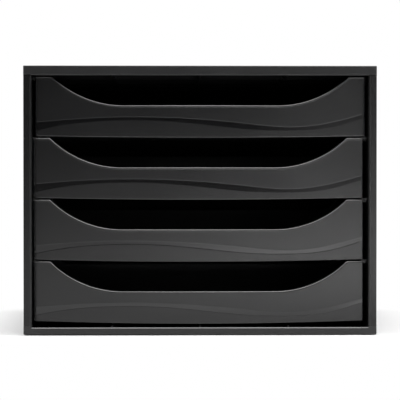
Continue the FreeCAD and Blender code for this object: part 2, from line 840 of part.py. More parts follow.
for (a, b), place in PLACES.items():
    foot = new_body(f"foot_{place}")
    disc = new_sketch(foot, f"disc_{place}")
    circle(disc, "0", "0", "foot_radius")
    pad(foot, disc, "foot_thick")
    fillet(foot, lambda p: near(p.z, 0), "foot_round")
    drive(foot, "Placement.Base.x", f"{a} * {FOOT_X}")
    drive(foot, "Placement.Base.y", f"{b} * {FOOT_Y}")
    pieces.append(foot)

# ---------------------------------------------------------------------------------------
# Screws: from below through the bottom panel into the side panels' bosses
# ---------------------------------------------------------------------------------------


def screw(name, x, y):
    """A pan-head screw with a crossed slot, head down, its head's outside at z = 0."""
    shank = doc.addObject("Part::Cylinder", name + "_shank")
    drive(shank, "Radius", "screw_radius")
    drive(shank, "Height", "screw_length")
    drive(shank, "Placement.Base.z", "head_tall")
    head = doc.addObject("Part::Cylinder", name + "_head")
    drive(head, "Radius", "head_radius")
    drive(head, "Height", "head_tall")
    blank = doc.addObject("Part::Fuse", name + "_blank")
    blank.Base, blank.Tool = head, shank
    slots = []
    for turn, (long, across) in enumerate((("Length", "Width"), ("Width", "Length"))):
        slot = doc.addObject("Part::Box", f"{name}_slot_{turn}")
        drive(slot, long, "2 * (head_radius - cross_wide)")
        drive(slot, across, "cross_wide")
        drive(slot, "Height", "cross_deep")
        base = {"Length": "x", "Width": "y"}
        drive(slot, f"Placement.Base.{base[long]}", "-(head_radius - cross_wide)")
        drive(slot, f"Placement.Base.{base[across]}", "-cross_wide / 2")
        slots.append(slot)
    cross = doc.addObject("Part::Fuse", name + "_cross")
    cross.Base, cross.Tool = slots
    made = doc.addObject("Part::Cut", name)
    made.Base, made.Tool = blank, cross
    drive(made, "Placement.Base.x", x)
    drive(made, "Placement.Base.y", y)
    drive(made, "Placement.Base.z", BASE_Z)
    return made


screws = doc.addObject("Part::Compound", "bottom_screws")
screws.Label = "bottom_screws"
screws.Links = [
    screw(f"screw_{PLACES[a, b]}", f"{a} * {SCREW_X}", f"{b} * {SCREW_Y}") for a, b in CORNERS
]
pieces.append(screws)

# ---------------------------------------------------------------------------------------
# Check every object, then write one file for each piece
# ---------------------------------------------------------------------------------------

doc.recompute()
for obj in doc.Objects:
    if {"Invalid", "Error"} & set(obj.State):
        raise RuntimeError(f"{obj.Label} failed: {obj.State}")
for piece in pieces:
    if piece.Shape.isNull() or not piece.Shape.isValid():
        raise RuntimeError(f"{piece.Label} has no sound shape")

os.makedirs("parts", exist_ok=True)
for piece in pieces:
    piece.Shape.exportStep(f"parts/{piece.Label}.step")
    bounds = piece.Shape.BoundBox
    print(
        f"{piece.Label}: {len(piece.Shape.Solids)} solid(s), {piece.Shape.Volume:.0f} mm3,"
        f" x {bounds.XMin:.2f}..{bounds.XMax:.2f}, y {bounds.YMin:.2f}..{bounds.YMax:.2f},"
        f" z {bounds.ZMin:.2f}..{bounds.ZMax:.2f}"
    )
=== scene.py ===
import math

import bpy
import numpy as np
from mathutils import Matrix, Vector


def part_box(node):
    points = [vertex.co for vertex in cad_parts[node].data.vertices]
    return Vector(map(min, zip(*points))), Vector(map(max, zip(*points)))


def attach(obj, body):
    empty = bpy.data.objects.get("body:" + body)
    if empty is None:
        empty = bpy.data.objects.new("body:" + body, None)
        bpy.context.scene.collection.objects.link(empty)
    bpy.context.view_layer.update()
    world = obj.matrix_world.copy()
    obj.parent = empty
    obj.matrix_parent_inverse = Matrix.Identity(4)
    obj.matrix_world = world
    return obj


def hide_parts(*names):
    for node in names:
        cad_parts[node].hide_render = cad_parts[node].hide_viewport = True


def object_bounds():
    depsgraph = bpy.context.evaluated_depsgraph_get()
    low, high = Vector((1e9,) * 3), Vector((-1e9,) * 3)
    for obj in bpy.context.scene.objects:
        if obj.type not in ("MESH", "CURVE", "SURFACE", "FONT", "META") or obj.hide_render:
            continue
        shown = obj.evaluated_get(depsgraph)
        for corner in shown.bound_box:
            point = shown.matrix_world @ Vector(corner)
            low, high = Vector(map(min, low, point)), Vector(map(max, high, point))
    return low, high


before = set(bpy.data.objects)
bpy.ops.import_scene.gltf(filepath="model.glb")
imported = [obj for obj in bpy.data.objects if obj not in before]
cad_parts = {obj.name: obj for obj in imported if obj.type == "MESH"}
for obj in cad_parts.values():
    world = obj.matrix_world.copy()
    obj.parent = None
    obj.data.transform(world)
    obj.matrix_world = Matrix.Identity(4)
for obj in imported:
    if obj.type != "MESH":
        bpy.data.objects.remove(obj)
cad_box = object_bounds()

MM = 0.001

# ---------------------------------------------------------------------------------------
# Housing panels: top, bottom and two sides, moulded in black polystyrene with a fine
# grain that takes the shine off. The sides stand between the top and the bottom, and the
# joints show as hairlines on the front.
# ---------------------------------------------------------------------------------------

PLASTIC = (0.0040, 0.0040, 0.0043)
CLOUDS = 14.0  # faint clouds per metre
CLOUD_TONE = 0.2  # share by which the clouds lighten and darken the plastic
CLOUD_SHINE = 0.06  # spread of the roughness over the clouds
PIT_SHINE = 0.05  # and over the grain's pits
PANEL_GRAIN = 0.9 * MM
RELIEF = 0.008 * MM  # depth of the grain
POLYSTYRENE_INDEX = 1.59
SIDE_INDEX = 1.5  # the sides shine a little less
INSIDE = 2.9 * MM  # faces further in than this lie inside the housing
# painted shade: roughness and specular level that give the faces inside the housing a weaker
# shine, so that they render darker
INSIDE_SHADE_ROUGHNESS = 0.8
INSIDE_SHADE_SPECULAR = 0.12


class Wire:
    """An output of a shader node, or a bare tree. + - * on wires and numbers add nodes."""

    def __init__(self, tree, socket=None):
        self.tree = tree
        self.socket = socket

    def node(self, kind, settings=None, sockets=None, output=0):
        """Add a node: its settings first, then the values or wires of its sockets."""
        new = self.tree.nodes.new("ShaderNode" + kind)
        for key, value in (settings or {}).items():
            setattr(new, key, value)
        for key, value in (sockets or {}).items():
            if isinstance(value, Wire):
                self.tree.links.new(value.socket, new.inputs[key])
            else:
                new.inputs[key].default_value = value
        return Wire(self.tree, new.outputs[output] if new.outputs else None)

    def math(self, operation, first, second=0.0):
        return self.node("Math", {"operation": operation}, {0: first, 1: second})

    def __add__(self, other):
        return self.math("ADD", self, other)

    def __sub__(self, other):
        return self.math("SUBTRACT", self, other)

    def __rsub__(self, other):
        return self.math("SUBTRACT", other, self)

    def __mul__(self, other):
        return self.math("MULTIPLY", self, other)

    __radd__, __rmul__ = __add__, __mul__


def new_material(name):
    """An empty material and its tree's first wire."""
    material = bpy.data.materials.new(name)
    material.use_nodes = True
    material.node_tree.nodes.clear()
    return material, Wire(material.node_tree)


def inside_housing(tree, place):
    """1 where a point lies inside the housing's walls: |p - middle| < half - INSIDE."""
    inside = 1.0
    for axis, start, end in zip("XYZ", *cad_box):
        along = tree.node("SeparateXYZ", {}, {0: place}, axis)
        away = tree.math("ABSOLUTE", along - (start + end) / 2)
        inside = inside * tree.math("LESS_THAN", away, (end - start) / 2 - INSIDE)
    return inside


def black_plastic(
    name,
    roughness,
    grain=PANEL_GRAIN,
    depth=RELIEF,
    index=POLYSTYRENE_INDEX,
    sunk=None,
    painted_shade_inside=False,
):
    """Black polystyrene: a grain in the mould, faint clouds in its shine and tone.

    grain is the grain's size and depth its relief, in metres. index is the index of
    refraction. sunk is the roughness of the polished ribbon, where the piece has an
    attribute named wave. The inside flag gives the faces inside the housing a weaker,
    rougher shine: painted shade that keeps them darker.
    """
    material, tree = new_material(name)
    place = tree.node("TexCoord", output="Object")
    clouds = tree.node("TexNoise", {}, {"Vector": place, "Scale": CLOUDS, "Detail": 3.0})
    pits = tree.node("TexNoise", {}, {"Vector": place, "Scale": 1 / grain, "Detail": 2.0})
    tones = [
        tuple(share * part for part in PLASTIC) + (1.0,)
        for share in (1 - CLOUD_TONE, 1 + CLOUD_TONE)
    ]
    tone = tree.node(
        "Mix", {"data_type": "RGBA"}, {"Factor": clouds, "A": tones[0], "B": tones[1]}, 2
    )
    shine = roughness + (clouds - 0.5) * CLOUD_SHINE + (pits - 0.5) * PIT_SHINE
    relief = pits
    if sunk is not None:
        wave = tree.node("Attribute", {"attribute_name": "wave"}, output="Fac")
        shine = shine + (sunk - shine) * wave
        relief = pits * (1 - wave * RIBBON_POLISH)
    bump = tree.node("Bump", {}, {"Height": relief, "Distance": depth, "Strength": 1.0})
    surface = tree.node(
        "BsdfPrincipled",
        {},
        {"Base Color": tone, "Roughness": shine, "Normal": bump, "IOR": index},
    )
    # painted shade: faces inside the housing swap to a weaker, rougher shine that keeps them
    # dark
    if painted_shade_inside:
        painted_shade_shine = tree.node(
            "BsdfPrincipled",
            {},
            {
                "Base Color": tone,
                "Roughness": INSIDE_SHADE_ROUGHNESS,
                "Normal": bump,
                "Specular IOR Level": INSIDE_SHADE_SPECULAR,
            },
        )
        inside = inside_housing(tree, place)
        surface = tree.node("MixShader", {}, {0: inside, 1: surface, 2: painted_shade_shine})
    tree.node("OutputMaterial", {}, {"Surface": surface})
    return material


def dress(material, *names):
    """Give pieces of the frame a material in place of their plain one."""
    for name in names:
        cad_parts[name].material_slots[0].material = material


side_plastic = black_plastic(
    "side_plastic", roughness=0.25, index=SIDE_INDEX, painted_shade_inside=True
)
dress(side_plastic, "left_side_panel", "right_side_panel")
bottom_plastic = black_plastic("bottom_plastic", roughness=0.42, painted_shade_inside=True)
dress(bottom_plastic, "bottom_panel")
top_plastic = black_plastic("top_plastic", roughness=0.33, painted_shade_inside=True)
dress(top_plastic, "top_panel")

# ---------------------------------------------------------------------------------------
# Runner plates and back panel: plain polystyrene plates inside the housing. The runner
# plates' ledges carry the drawers, and the back panel slides into the sides' grooves.
# ---------------------------------------------------------------------------------------

INNER_GRAIN = 0.7 * MM

runner_plastic = black_plastic("runner_plastic", roughness=0.3, grain=INNER_GRAIN)
dress(runner_plastic, "left_runner_plate", "right_runner_plate")
back_plastic = black_plastic(
    "back_plastic", roughness=0.5, grain=INNER_GRAIN, painted_shade_inside=True
)
dress(back_plastic, "back_panel")

# ---------------------------------------------------------------------------------------
# Feet: four dull rubber discs stuck into seats under the bottom panel.
# Their colour is even, and only a fine dust varies their roughness and relief.
# ---------------------------------------------------------------------------------------

RUBBER = (0.022, 0.022, 0.022, 1.0)
RUBBER_ROUGHNESS = 0.75
DUST_SPREAD = 0.2  # roughness that the dust adds
DUST_SPECKS = 400.0  # per metre
DUST_RELIEF = 0.05 * MM

foot_rubber, rubber = new_material("foot_rubber")
rubber_place = rubber.node("TexCoord", output="Object")
dust = rubber.node("TexNoise", {}, {"Vector": rubber_place, "Scale": DUST_SPECKS})
dust_bump = rubber.node("Bump", {}, {"Height": dust, "Distance": DUST_RELIEF})
rubber_skin = rubber.node(
    "BsdfPrincipled",
    {},
    {
        "Base Color": RUBBER,
        "Roughness": RUBBER_ROUGHNESS + dust * DUST_SPREAD,
        "Normal": dust_bump,
    },
)
rubber.node("OutputMaterial", {}, {"Surface": rubber_skin})
dress(foot_rubber, *(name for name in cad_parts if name.startswith("foot_")))

# ---------------------------------------------------------------------------------------
# Screws: four zinc-plated screws that hold the bottom panel to the sides.
# The plating is bare metal with fine handling marks in its shine.
# ---------------------------------------------------------------------------------------

ZINC = (0.55, 0.56, 0.57, 1.0)
ZINC_ROUGHNESS = 0.28
MARK_SPREAD = 0.15  # roughness that the marks add
MARKS = 900.0  # per metre

screw_steel, steel = new_material("screw_steel")
steel_place = steel.node("TexCoord", output="Object")
marks = steel.node("TexNoise", {}, {"Vector": steel_place, "Scale": MARKS})
steel_skin = steel.node(
    "BsdfPrincipled",
    {},
    {"Base Color": ZINC, "Metallic": 1.0, "Roughness": ZINC_ROUGHNESS + marks * MARK_SPREAD},
)
steel.node("OutputMaterial", {}, {"Surface": steel_skin})
dress(screw_steel, "bottom_screws")

# ---------------------------------------------------------------------------------------
# Drawer fronts: one moulding with its tray, in the same plastic. The front is bowed, and
# a wide cut-out with a beaded rim and a lip behind it leaves a tab at each end. A sunk,
# smoother ribbon runs across it like a wave.
# ---------------------------------------------------------------------------------------

DRAWERS = [f"drawer_{n}" for n in range(1, 5)]
BOW = 11.0 * MM  # the face's sides lie this far behind its middle
RIM_PROUD = 0.7 * MM  # how far the bead along the rim stands out from the face
RIM_TALL = 1.7 * MM  # thickness of the bead and of the lip
RIM_FOOT = 0.35 * MM  # from the bead down to the flat face
RIM_CLEAR = 0.6 * MM  # flat strip of the face under that
RIM_ROUND = 1.2 * MM
PLATE = 2.2 * MM  # thickness of the front
LIP = 11.3 * MM  # lip's rear edge, behind the face
LIP_STUB = 0.35 * MM  # what is left of the lip where it has run out
LIP_FADE = 0.12  # angle of the large arc over which it runs out
LIP_START = 0.7 * MM  # where the lip's top begins, behind the face
LIP_ROUND = 0.6 * MM
ROUND_SHARE = 0.45  # most of the lip's reach that one of its rounds takes
CORNER = 1.2 * MM  # round between the face and a side edge
EDGE_RETURN = 8.2 * MM  # side edges' reach behind the face
EDGE_ROUND = 0.5 * MM  # lower edge's round
FACE_START = 0.9 * MM  # from the lower edge to the flat face
TALL = 60.5 * MM  # from the lower edge's ends to the tabs' tops
DROP = 1.9 * MM  # sag of the lower edge
CUT_DEPTH = 29.8 * MM
CUT_RADIUS = 104.0 * MM
TAB_ROUND = 4.0 * MM
TAB_WIDE = 15.5 * MM
RETURN_STEP = 0.85 * MM  # side edges' tops, below the tabs
WAVE_DEEP = 0.04 * MM
WAVE_END = 2.0 * MM  # the ribbon fades out over this length of each side edge
WAVE_CLEAR = 0.5 * MM  # reach of the step at each of the ribbon's edges
RIBBON_ROUGHNESS = 0.12
RIBBON_POLISH = 0.8  # share of the grain that is missing in the ribbon
FRONT_GRAIN = 0.8 * MM
FRONT_RELIEF = 0.006 * MM

# columns of the mesh along each stretch of the upper edge
FLAT_POINTS, ARC_POINTS, ROUND_POINTS, TAB_POINTS, EDGE_POINTS = 25, 35, 10, 6, 5
CLOSE = 0.1 * MM  # spacing of the last columns before a corner
# signs of a curve's six rows in its mirrored half: x and the normal's x change
MIRROR = np.array([[-1], [1], [-1], [1], [1], [1]])

# a rounded edge of unit size: distances from its two faces
QUARTER = ((0, 1), (0.3, 0.3), (1, 0))
# the bead's lower side: distance under the upper edge in millimetres, share of RIM_PROUD
RIM_SIDE = ((1.8, 0.06), (1.7, 0.3), (1.62, 0.7), (1.5, 0.95), (1.35, 1.0))
RIM_TURNS = (10, 22, 36, 50, 64, 77, 90)  # degrees round the bead's top
# the step into the ribbon: height over its edge in millimetres, share of its depth
WAVE_STEP = ((-0.5, 0), (-0.15, 0), (-0.05, 0.12), (0.05, 0.88), (0.15, 1), (0.5, 1))

# the ribbon's two edges, in shares of the front's half width and height
WAVE_UPPER = [
    (-1.00, 0.232),
    (-0.60, 0.306),
    (-0.36, 0.314),
    (0.00, 0.276),
    (0.30, 0.200),
    (0.54, 0.150),
    (0.78, 0.224),
    (1.00, 0.378),
]
WAVE_LOWER = [
    (-1.00, 0.092),
    (-0.84, 0.176),
    (-0.60, 0.244),
    (-0.36, 0.258),
    (0.00, 0.192),
    (0.30, 0.110),
    (0.54, 0.094),
    (0.78, 0.146),
    (1.00, 0.312),
]

low, high = (np.array(corner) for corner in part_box(DRAWERS[0]))
HALF = (high[0] - low[0]) / 2
FACE_Y = low[1] + RIM_PROUD  # the face's middle
BOW_RADIUS = (HALF**2 + BOW**2) / (2 * BOW)
CORNER_X = (HALF - CORNER) / (1 - CORNER / BOW_RADIUS)
CORNER_TURN = math.asin(CORNER_X / BOW_RADIUS)
CORNER_RUN = CORNER * (math.pi / 2 - CORNER_TURN)
END_RUN = CORNER_X + CORNER_RUN + EDGE_RETURN - CORNER


def face_point(run, depth):
    """x and y of a point of the front's horizontal section.

    Up to the corner, run is x itself and y follows the bow, R - sqrt(R^2 - x^2). Round
    the corner the point turns about its centre, and past it it goes straight back. depth
    is taken along the section's inward normal.
    """
    side = np.where(run < 0, -1.0, 1.0)
    bowed = np.minimum(np.abs(run), CORNER_X)
    turned = np.clip(np.abs(run) - CORNER_X, 0, CORNER_RUN) / CORNER
    beyond = np.maximum(np.abs(run) - CORNER_X - CORNER_RUN, 0)
    angle = CORNER_TURN + turned
    x = bowed + CORNER * (np.sin(angle) - math.sin(CORNER_TURN))
    y = BOW_RADIUS - np.sqrt(BOW_RADIUS**2 - bowed**2) + beyond
    y = y + CORNER * (math.cos(CORNER_TURN) - np.cos(angle))
    normal = np.arcsin(bowed / BOW_RADIUS) + turned
    x = x - depth * np.sin(normal)
    return side * x, FACE_Y + y + depth * np.cos(normal)


def ease(share):
    """Smooth step: 0 below 0, 1 above 1, 3s^2 - 2s^3 between."""
    share = np.clip(share, 0, 1)
    return share * share * (3 - 2 * share)


def joined(stretches):
    """Join stretches of a curve. Each is a tuple of rows whose first is an array, and the
    others are spread over its points."""
    rows = []
    for k in range(len(stretches[0])):
        rows.append([np.broadcast_to(stretch[k], stretch[0].shape) for stretch in stretches])
    return np.array([np.concatenate(row) for row in rows])


def upper_edge():
    """The front's upper edge from left to right, as rows of run, z, normal run, normal z,
    lip share and rim share.

    From the middle: a straight run, a large arc that rises to the tab, a small round over
    the tab's corner, the tab's top, the corner and the side edge. The left half mirrors it.
    """
    tab_x, tab_z = HALF - TAB_WIDE, TALL - TAB_ROUND
    arc_z = TALL - CUT_DEPTH + CUT_RADIUS
    slope = math.acos((arc_z - tab_z) / (CUT_RADIUS + TAB_ROUND))
    cut_x = tab_x - (CUT_RADIUS + TAB_ROUND) * math.sin(slope)
    flat = np.linspace(0, cut_x, FLAT_POINTS)[:-1]
    wide = np.linspace(0, slope, ARC_POINTS)[:-1]
    small = np.linspace(slope, 0, ROUND_POINTS)[:-1]
    top = np.r_[np.linspace(tab_x, CORNER_X - 2 * CLOSE, TAB_POINTS), CORNER_X - CLOSE]
    corner = np.linspace(CORNER_X, CORNER_X + CORNER_RUN, ROUND_POINTS)[:-1]
    edge = np.linspace(CORNER_X + CORNER_RUN, END_RUN, EDGE_POINTS)
    fall = ease((np.r_[corner, edge] - CORNER_X) / CORNER_RUN)
    stretches = [
        (flat, arc_z - CUT_RADIUS, 0, 1, 1, 1),
        (
            cut_x + CUT_RADIUS * np.sin(wide),
            arc_z - CUT_RADIUS * np.cos(wide),
            -np.sin(wide),
            np.cos(wide),
            ease((slope - wide) / LIP_FADE),
            1,
        ),
        (
            tab_x - TAB_ROUND * np.sin(small),
            tab_z + TAB_ROUND * np.cos(small),
            -np.sin(small),
            np.cos(small),
            0,
            1,
        ),
        (top, TALL, 0, 1, 0, 1),
        (np.r_[corner, edge], TALL - RETURN_STEP * fall, 0, 1, 0, 1 - fall),
    ]
    half = joined(stretches)
    return np.concatenate([half[:, :0:-1] * MIRROR, half], axis=1)


def smooth_curve(points, at):
    """A natural cubic spline through the points, read at the given places."""
    x, z = np.array(points).T
    gap = np.diff(x)
    slope = np.diff(z) / gap
    count = len(x)
    matrix, right = np.eye(count), np.zeros(count)
    for k in range(1, count - 1):
        matrix[k, k - 1 : k + 2] = gap[k - 1], 2 * (gap[k - 1] + gap[k]), gap[k]
        right[k] = 6 * (slope[k] - slope[k - 1])
    bend = np.linalg.solve(matrix, right)
    k = np.clip(np.searchsorted(x, at) - 1, 0, count - 2)
    a, b = (x[k + 1] - at) / gap[k], (at - x[k]) / gap[k]
    curve = (a**3 - a) * bend[k] + (b**3 - b) * bend[k + 1]
    return a * z[k] + b * z[k + 1] + curve * gap[k] ** 2 / 6


def front_rings():
    """Points of the front as closed sections, one after another from right to left, in
    the drawer's own frame, with the ribbon's share at each point.

    A section goes up the face, over the rim and the lip, and down behind. Face and rear
    points lie at heights between the lower edge and the rim. Rim and lip points are given
    by inset, taken along the upper edge's normal, and depth.
    """
    run, edge_z, normal_run, normal_z, lip, rim = upper_edge()
    foot = RIM_TALL + RIM_FOOT
    face_run = run - foot * normal_run
    face_top = edge_z - foot * normal_z
    share = np.clip(face_run / HALF, -1, 1)
    base = -DROP * (1 - share**2)
    upper = smooth_curve(WAVE_UPPER, share) * TALL
    lower = smooth_curve(WAVE_LOWER, share) * TALL
    fade = 1 - ease((np.abs(run) - CORNER_X - CORNER_RUN) / WAVE_END)
    sunk = WAVE_DEEP * fade
    points = []

    def face_row(z, depth, wave=0.0):
        points.append((face_run, z, depth + 0 * run, wave * fade))

    def face_rows(start, end, parts, depth, wave=0.0):
        for part in parts:
            face_row(start + part * (end - start), depth, wave)

    def rim_row(inset, depth):
        rim_run, rim_z = run - inset * normal_run, edge_z - inset * normal_z
        points.append((rim_run, rim_z, depth + 0 * run, 0 * run))

    # up the face
    for up, depth in QUARTER:
        face_row(base + up * EDGE_ROUND, depth * EDGE_ROUND)
    face_row(base + FACE_START, 0)
    face_rows(base + FACE_START, lower - WAVE_CLEAR, (0.25, 0.5, 0.75), 0)
    for up, part in WAVE_STEP:
        face_row(lower + up * MM, part * sunk, part)
    face_rows(lower + WAVE_CLEAR, upper - WAVE_CLEAR, (0.33, 0.67), sunk, 1.0)
    for up, part in WAVE_STEP:
        face_row(upper + up * MM, (1 - part) * sunk, 1 - part)
    face_rows(upper + WAVE_CLEAR, face_top - RIM_CLEAR, (0.2, 0.4, 0.6, 0.8, 1.0), 0)
    face_row(face_top, 0)

    # over the bead and along the lip's top
    proud = RIM_PROUD * rim
    for inset, out in RIM_SIDE:
        rim_row(inset * MM, -out * proud)
    for turn in np.radians(RIM_TURNS):
        rim_row(RIM_ROUND * (1 - math.sin(turn)), RIM_ROUND * (1 - math.cos(turn)) - proud)
    least = PLATE + LIP_STUB
    reach = least + (LIP - least) * lip
    for part in (0.0, 0.06, 0.5, 0.94):
        rim_row(0, LIP_START + part * (reach - LIP_START - LIP_ROUND))

    # round the lip's rear edge, back under it and down behind
    small = np.minimum(LIP_ROUND, ROUND_SHARE * (reach - PLATE))
    for inset, back in QUARTER:
        rim_row(inset * LIP_ROUND, reach - back * LIP_ROUND)
    for inset, back in reversed(QUARTER):
        rim_row(RIM_TALL - inset * small, reach - back * small)
    for inset, back in QUARTER + ((2, 0),):
        rim_row(RIM_TALL + inset * small, PLATE + back * small)
    face_rows(base, face_top, (0.9, 0.6, 0.3), PLATE)
    face_row(base + FACE_START, PLATE)
    for up, depth in reversed(QUARTER):
        face_row(base + up * EDGE_ROUND, PLATE - depth * EDGE_ROUND)

    run, z, depth, wave = (np.array(rows).T[::-1] for rows in zip(*points))
    x, y = face_point(run, depth)
    return np.stack([x, y, z], axis=-1), wave


def closed_skin(rings, name, wave=None):
    """A closed mesh over rings of points (rings, places, 3): a quad between each two
    neighbours on each two following rings, and an end face on the first and last ring."""
    count, places = rings.shape[:2]
    index = np.arange(count * places).reshape(count, places)
    after = np.roll(index, -1, axis=1)
    quads = np.stack([index[1:], index[:-1], after[:-1], after[1:]], axis=-1).reshape(-1, 4)
    ends = [index[0][::-1].tolist(), index[-1].tolist()]
    mesh = bpy.data.meshes.new(name)
    mesh.from_pydata(rings.reshape(-1, 3).tolist(), [], quads.tolist() + ends)
    mesh.polygons.foreach_set("use_smooth", [True] * len(mesh.polygons))
    if wave is not None:
        attribute = mesh.attributes.new("wave", "FLOAT", "POINT")
        attribute.data.foreach_set("value", np.ascontiguousarray(wave, dtype=float).ravel())
    mesh.update()
    return mesh


def drawer_place(drawer):
    """Where a drawer's own frame lies: its middle in x, its lower edge's ends in z."""
    start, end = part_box(drawer)
    return np.array([(start[0] + end[0]) / 2, 0, end[2] - TALL])


def add_piece(mesh, material, drawer):
    """Put a mesh on a drawer, in place of its plain solid."""
    piece = bpy.data.objects.new(mesh.name, mesh)
    bpy.context.scene.collection.objects.link(piece)
    mesh.materials.append(material)
    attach(piece, drawer)
    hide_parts(drawer)


front_plastic = black_plastic(
    "front_plastic",
    roughness=0.24,
    grain=FRONT_GRAIN,
    depth=FRONT_RELIEF,
    sunk=RIBBON_ROUGHNESS,
)
FRONT_RINGS, FRONT_WAVE = front_rings()

# ---------------------------------------------------------------------------------------
# Drawer trays: an open box behind each front, with a stop ear on each side wall that
# meets the runner's nib when the drawer is pulled right out.
# ---------------------------------------------------------------------------------------

WALL = 2.0 * MM
FRONT_WALL = 1.2 * MM
FRONT_RIB = 20 * MM  # height of the tray's front wall, hidden behind the front
BURIED = 0.8 * MM  # from the front's face to that wall's outer side, inside the plate
FRONT_BEND = 1.2 * MM  # across the corner from the front wall to the side wall
TRAY_INSET = 0.5 * MM  # side walls, inside the front's side edges
TRAY_DROP = 4.4 * MM  # side walls' tops, below the tabs
REAR_DROP = 15.4 * MM  # rear wall's top, below the tabs
REAR_STEP = 10 * MM  # length over which the walls fall to the rear wall's height
FRONT_CLIMB = 6 * MM  # length over which they rise from the front wall's height
FLOOR_DROP = 0.6 * MM  # underside, below the lower edge's ends
REAR_ROUND = 3.0 * MM
INNER_FILLET = 2.5 * MM
WALL_ROUND = 0.6 * MM
STRIP = 1.0 * MM  # flat strip of mesh beside the rounds
EAR_BACK = 20.0 * MM  # rear end of a stop ear, from the tray's rear wall
EAR_LONG = 12.0 * MM
EAR_RISE = 2.65 * MM
EAR_SLOPE = 0.4 * MM
TRAY_GRAIN = 0.7 * MM

# places along each front wall and side wall, round a rear corner, and to the middle
SIDE_POINTS, TURN_POINTS, BACK_POINTS = 40, 8, 25
# the underside's edge: inset and height in millimetres
UNDER_EDGE = ((1.5, 0), (0.8, 0), (0.25, 0.2), (0, 0.8), (0, 1.5))
FILLET_TURNS = (18, 36, 54, 72, 90)  # degrees round the inner fillet
SHRINKS = (0.02, 0.5, 0.9)  # shares of the plan's size for the loops across flat areas


def tray_plan():
    """The tray's plan as a closed loop, as rows of x, y, inward x, inward y, wall top and
    wall thickness.

    It starts at the front's middle, inside the front's plate, follows the bow to the
    side, runs back, rounds the rear corner and crosses the rear wall. Its left half
    mirrors the right one.
    """
    half = HALF - TRAY_INSET
    rear = high[1]
    across = np.linspace(0, half - FRONT_BEND, SIDE_POINTS)
    start_y = face_point(across[-1:], BURIED)[1][0] + FRONT_BEND
    ear_end = rear - EAR_BACK
    ear_start = ear_end - EAR_LONG
    ear_ends = [ear_start - EAR_SLOPE, ear_start, ear_end, ear_end + EAR_SLOPE]
    along = np.unique(np.r_[np.linspace(start_y, rear - REAR_ROUND, SIDE_POINTS), ear_ends])
    turn = np.linspace(0, math.pi / 2, TURN_POINTS)[1:-1]
    back = np.linspace(half - REAR_ROUND, 0, BACK_POINTS)
    lean = np.arcsin(across / BOW_RADIUS)
    side_top, rear_top = TALL - TRAY_DROP, TALL - REAR_DROP
    ear = ease((along - ear_start) / EAR_SLOPE + 1) * ease((ear_end - along) / EAR_SLOPE + 1)
    climb = ease((along - start_y) / FRONT_CLIMB)
    fall = ease((half - REAR_ROUND - back) / REAR_STEP)
    front_x, front_y = face_point(across, BURIED)
    stretches = [
        (front_x, front_y, -np.sin(lean), np.cos(lean), FRONT_RIB, FRONT_WALL),
        (
            half + 0 * along,
            along,
            -1,
            0,
            FRONT_RIB + (side_top - FRONT_RIB) * climb + EAR_RISE * ear,
            WALL,
        ),
        (
            half - REAR_ROUND * (1 - np.cos(turn)),
            rear - REAR_ROUND * (1 - np.sin(turn)),
            -np.cos(turn),
            -np.sin(turn),
            side_top,
            WALL,
        ),
        (back, rear, 0, -1, side_top + (rear_top - side_top) * fall, WALL),
    ]
    plan = joined(stretches)
    return np.concatenate([plan, plan[:, -2:0:-1] * MIRROR], axis=1)


def tray_rings():
    """Points of the tray as closed loops in plan, from the underside's centre over the
    wall's top to the floor's centre. Wall loops are offset inwards from the outer wall,
    and loops across the flat areas are shrunk towards the plan's middle."""
    x, y, inward_x, inward_y, top, thick = tray_plan()
    middle_y = (FACE_Y + high[1]) / 2
    bottom = -FLOOR_DROP
    floor = bottom + WALL
    sill = floor + INNER_FILLET
    loops = []

    def shrunk(share, z):
        loops.append((x * share, middle_y + (y - middle_y) * share, 0 * x + z))

    def offset(inset, z):
        loops.append((x + inset * inward_x, y + inset * inward_y, z + 0 * x))

    for share in SHRINKS:
        shrunk(share, bottom)
    for inset, up in UNDER_EDGE:
        offset(inset * MM, bottom + up * MM)
    for part in (0.3, 0.6, 0.95):
        offset(0, bottom + part * (top - bottom))
    offset(0, top - STRIP)
    for inset, down in QUARTER:
        offset(inset * WALL_ROUND, top - down * WALL_ROUND)
    for inset, down in reversed(QUARTER):
        offset(thick - inset * WALL_ROUND, top - down * WALL_ROUND)
    offset(thick, top - STRIP)
    for part in (0.66, 0.33, 0.05, 0.0):
        offset(thick, sill + part * (top - STRIP - sill))
    for turn in np.radians(FILLET_TURNS):
        inset = thick + INNER_FILLET * (1 - math.cos(turn))
        offset(inset, sill - INNER_FILLET * math.sin(turn))
    offset(thick + INNER_FILLET + STRIP, floor)
    for share in reversed(SHRINKS):
        shrunk(share, floor)
    return np.array(loops).transpose(0, 2, 1)


tray_plastic = black_plastic("tray_plastic", roughness=0.5, grain=TRAY_GRAIN)
TRAY_RINGS = tray_rings()
for drawer in DRAWERS:
    front = closed_skin(FRONT_RINGS + drawer_place(drawer), f"{drawer}_front", FRONT_WAVE)
    add_piece(front, front_plastic, drawer)
    tray = closed_skin(TRAY_RINGS + drawer_place(drawer), f"{drawer}_tray")
    add_piece(tray, tray_plastic, drawer)

# ---------------------------------------------------------------------------------------
# Floor: a pale sheet that takes the object's shadow and turns plain white further out.
# Reflections see it white too, apart from a pool at the front right, and dim close by.
# ---------------------------------------------------------------------------------------

FLOOR_CORNERS = [(-4, -3.3, 0), (4, -3.3, 0), (4, 5, 0), (-4, 5, 0)]
FLOOR_PAINT = (0.9, 0.9, 0.9, 1.0)
FLOOR_SHADE = (0.2, 0.2, 0.2, 1.0)
WHITE = (1.0, 1.0, 1.0, 1.0)
SHADOW_REACH = 0.09  # past this distance from the object the floor is plain white
POOL = (0.85, -1.45, 0)  # place that stays dim in reflections, where the floor lamp is
POOL_START, POOL_END = 0.9, 1.5
POOL_WHITE = 0.75  # share of white past the pool
FAR_START, FAR_END = 0.24, 0.4
NEAR_START, NEAR_END = 0.2, 0.4
TOUCH_START, TOUCH_END = 0.04, 0.12
NEAR_DIM = 0.6  # share of the shade colour close to the object, in reflections


